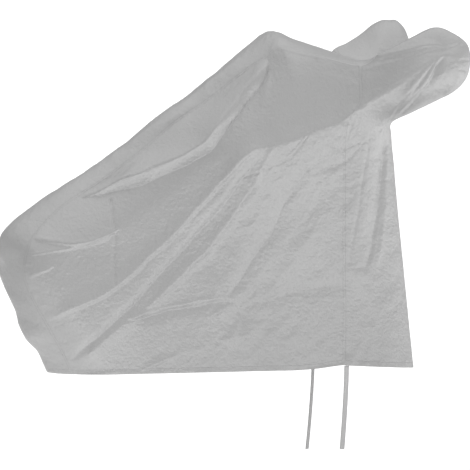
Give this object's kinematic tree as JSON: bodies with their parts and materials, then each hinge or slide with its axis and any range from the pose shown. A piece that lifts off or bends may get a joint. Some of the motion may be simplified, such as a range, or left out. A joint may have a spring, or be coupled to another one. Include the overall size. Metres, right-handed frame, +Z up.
{
  "type": "electric scooter cover",
  "caption": "Fitted cloth cover for a small scooter: low rounded rear, long slope to a peak, two mitten shaped handlebar sleeves, open bottom and two hanging flat ties.",
  "frame": {"origin": "on the centre plane, at the underside of the cloth at its peak, where the vehicle holds the cover up", "axes": "+X forward to the sleeves, +Y to the left side, +Z up"},
  "size_m": [1.2074, 0.5091, 1.1233],
  "materials": {
    "cloth": "grey coated cloth with a soft sheen",
    "tape": "matte woven tape"
  },
  "bodies": {
    "root": {"side_panel_right": "cloth", "side_panel_left": "cloth", "spine_strip": "cloth", "front_panel_right": "cloth", "front_panel_left": "cloth", "front_middle": "cloth", "tie_right": "tape", "tie_left": "tape"}
  },
  "joints": []
}
